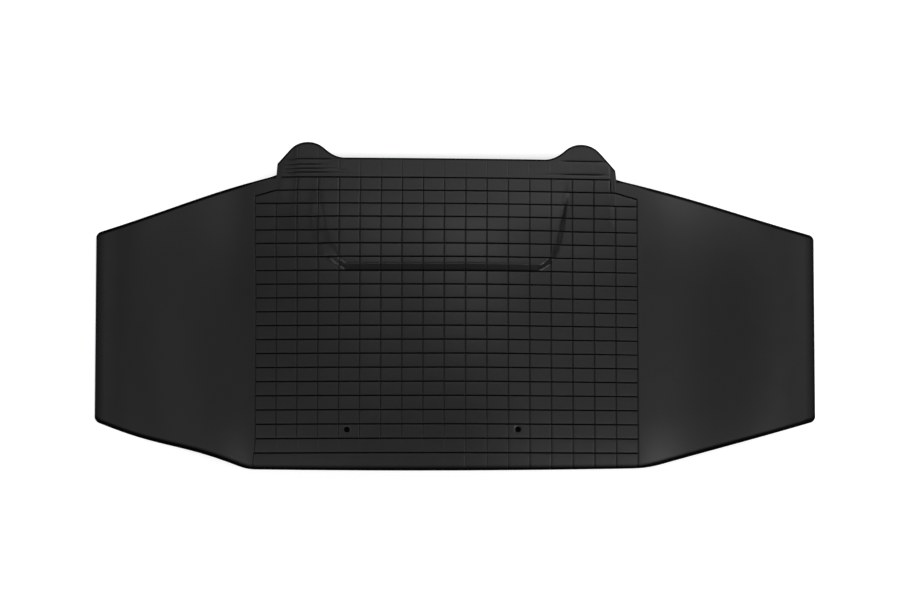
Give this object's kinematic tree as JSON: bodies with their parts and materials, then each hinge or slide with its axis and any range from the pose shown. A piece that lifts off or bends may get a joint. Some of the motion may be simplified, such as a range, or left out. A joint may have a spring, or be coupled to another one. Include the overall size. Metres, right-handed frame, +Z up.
{
  "type": "car floor mat",
  "caption": "Moulded black rubber floor mat that bridges a car's rear tunnel: grooved tile field with a raised pad, a back flap with two ears, and smooth sloping wings.",
  "frame": {"origin": "centre of the bounding box in plan, on the floor that the two wing ends lie on", "axes": "+X across the mat towards its longer wing, +Y from the straight front edge towards the flap with the ears, +Z up"},
  "size_m": [0.7078, 0.3236, 0.0579],
  "materials": {
    "rubber": "satin black moulded rubber with a fine matt grain"
  },
  "bodies": {
    "root": {"mat": "rubber"}
  },
  "joints": []
}
